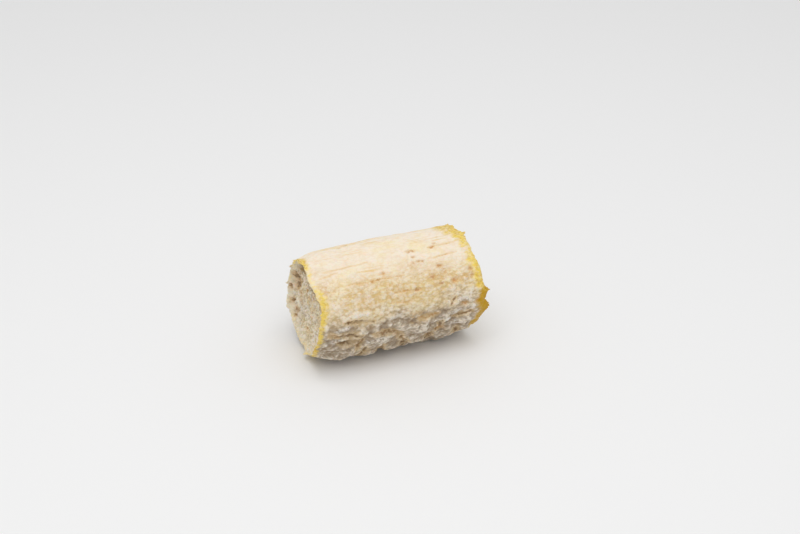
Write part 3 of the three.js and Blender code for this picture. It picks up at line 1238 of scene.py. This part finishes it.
def skin_wave(angle, size, seed):
    """Smooth noise round the log, from about -1 to 1, that meets itself after a full turn."""
    turned = math.radians(angle)
    round_place = Vector((math.cos(turned), math.sin(turned), 0)) * (DIAMETER / 2 / size)
    return mathutils.noise.noise(round_place + Vector((0, 0, seed))) * 2


def skin_height(end, angle):
    """How far the skin stands out of the lip at an angle, and how much it leans outward there."""
    rough_stretch = max(0.0, skin_wave(angle, size=7, seed=3 + end))
    height = FRAY_HEIGHT * rough_stretch * max(0.0, skin_wave(angle, size=1.8, seed=5 + end) + 0.2)
    height += HAIR_HEIGHT * max(0.0, skin_wave(angle, size=0.8, seed=8 + end))
    lean = LEAN + LEAN_CHANGE * skin_wave(angle, size=4, seed=13 + end)
    for tag_end, tag_angle, spread, tag_height, tag_lean in all_tags:
        apart = abs((angle - tag_angle + 180) % 360 - 180)
        if tag_end == end and apart < spread * 1.5:
            share = max(0.0, 1 - apart / spread)
            uneven = 0.75 + 0.5 * skin_wave(angle, size=0.6, seed=21 + tag_angle)
            height += tag_height * min(1.0, share * 1.6) * uneven
            lean += (tag_lean - lean) * min(1.0, share * 2)
    return height, lean


for end in (-1, 1):
    tallest = max(skin_height(end, angle)[0] for angle in range(360))
    print("skin at end", end, "stands out up to", round(tallest, 1), "mm")

# %% [markdown]
# ### The ribbon
#
# At each column round the log the ribbon has a closed outline: up its outer side, which curls outward and
# thins out to the tip, and down its inner side. It wears the rind's finish, so its points carry the numbers
# that the finish reads: waxy outside, paler inside, and far from every crease and pit.

# %% Model the torn skin
SKIN_COLUMNS = 1080
SKIN_ROWS = 7
SKIN_ROOT = 0.7  # millimetres of the ribbon that stay inside the lip
SKIN_LIFT = 0.1
SKIN_THICK = 0.5
TIP_THICK = 0.08
CURL = 1.6
INNER_WAX = 0.4  # how waxy the ribbon's inner side is at least
FAR = 9.0  # a gap that keeps creases and pits off the skin


def skin_outline(spot, forward, outward, height, lean):
    """One column's points, from the root up the outer side and down the inner one."""
    step = (height + SKIN_ROOT) / (SKIN_ROWS - 1)
    outer, inner = [], []
    for row in range(SKIN_ROWS):
        rise = row / (SKIN_ROWS - 1)
        tilt = lean * rise * rise * CURL
        across = outward * math.cos(tilt) - forward * math.sin(tilt)
        half = (SKIN_THICK * (1 - rise) ** 0.6 + TIP_THICK) / 2
        outer.append(spot + across * half)
        inner.append(spot - across * half)
        spot = spot + (forward * math.cos(tilt) + outward * math.sin(tilt)) * step
    return outer + inner[::-1]


def ribbon_faces(columns, around):
    """Quads between neighbouring columns of points, closed both ways."""
    faces = []
    for column in range(columns):
        here, there = column * around, (column + 1) % columns * around
        for point in range(around):
            beside = (point + 1) % around
            faces.append((here + point, here + beside, there + beside, there + point))
    return faces


def skin_mesh(places):
    mesh = bpy.data.meshes.new("skin")
    mesh.from_pydata([place * MM for place in places], [], ribbon_faces(SKIN_COLUMNS, SKIN_ROWS * 2))
    shape = bmesh.new()
    shape.from_mesh(mesh)
    bmesh.ops.recalc_face_normals(shape, faces=shape.faces)
    shape.to_mesh(mesh)
    shape.free()
    mesh.shade_smooth()
    return mesh


def skin_piece(name, end, yellows):
    """A ribbon round one lip, with the numbers that the rind's colours read."""
    crest_along, crest_out = zip(*crest_profile(end))
    forward = Vector((end, 0, 0))
    places, waxes, yellow_values = [], [], []
    for column in range(SKIN_COLUMNS):
        share = column / SKIN_COLUMNS
        angle = share * 360
        outward = outward_at(angle)
        along = round_the_log(crest_along, share)
        out = round_the_log(crest_out, share) + SKIN_LIFT
        spot = Vector((along, 0, AXIS_HEIGHT)) + outward * out - forward * SKIN_ROOT
        places += skin_outline(spot, forward, outward, *skin_height(end, angle))
        yellow = round_the_log(yellows, share)
        inner_wax = min(1.0, max(INNER_WAX, 3 * yellow - 1.6))
        waxes += [1.0] * SKIN_ROWS + [inner_wax] * SKIN_ROWS
        yellow_values += [yellow] * (SKIN_ROWS * 2)

    mesh = skin_mesh(places)
    store_numbers(mesh, {"wax": waxes, "yellow": yellow_values})
    for label, value in (("face", 1.0), ("crest_gap", 1.0), ("crease_gap", FAR), ("pit_gap", FAR)):
        store_numbers(mesh, {label: [value] * len(places)})
    rest_numbers = [number for place in places for number in place]
    mesh.attributes.new("rest", "FLOAT_VECTOR", "POINT").data.foreach_set("vector", rest_numbers)
    mesh.materials.append(rind)
    return linked_object(name, mesh)


skins = [skin_piece("skin_left", -1, LEFT_YELLOW), skin_piece("skin_right", 1, RIGHT_YELLOW)]
print("skins:", [len(skin.data.polygons) for skin in skins], "faces")

# %% [markdown]
# ## Hand over to the frame
#
# The rind and the two skins stand for the packed solid together and ride on its body, and the packed solid
# is hidden.

# %% Tie the pieces to the frame
for piece in (rind_piece, *skins):
    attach(piece, "root")
    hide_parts(NODE)
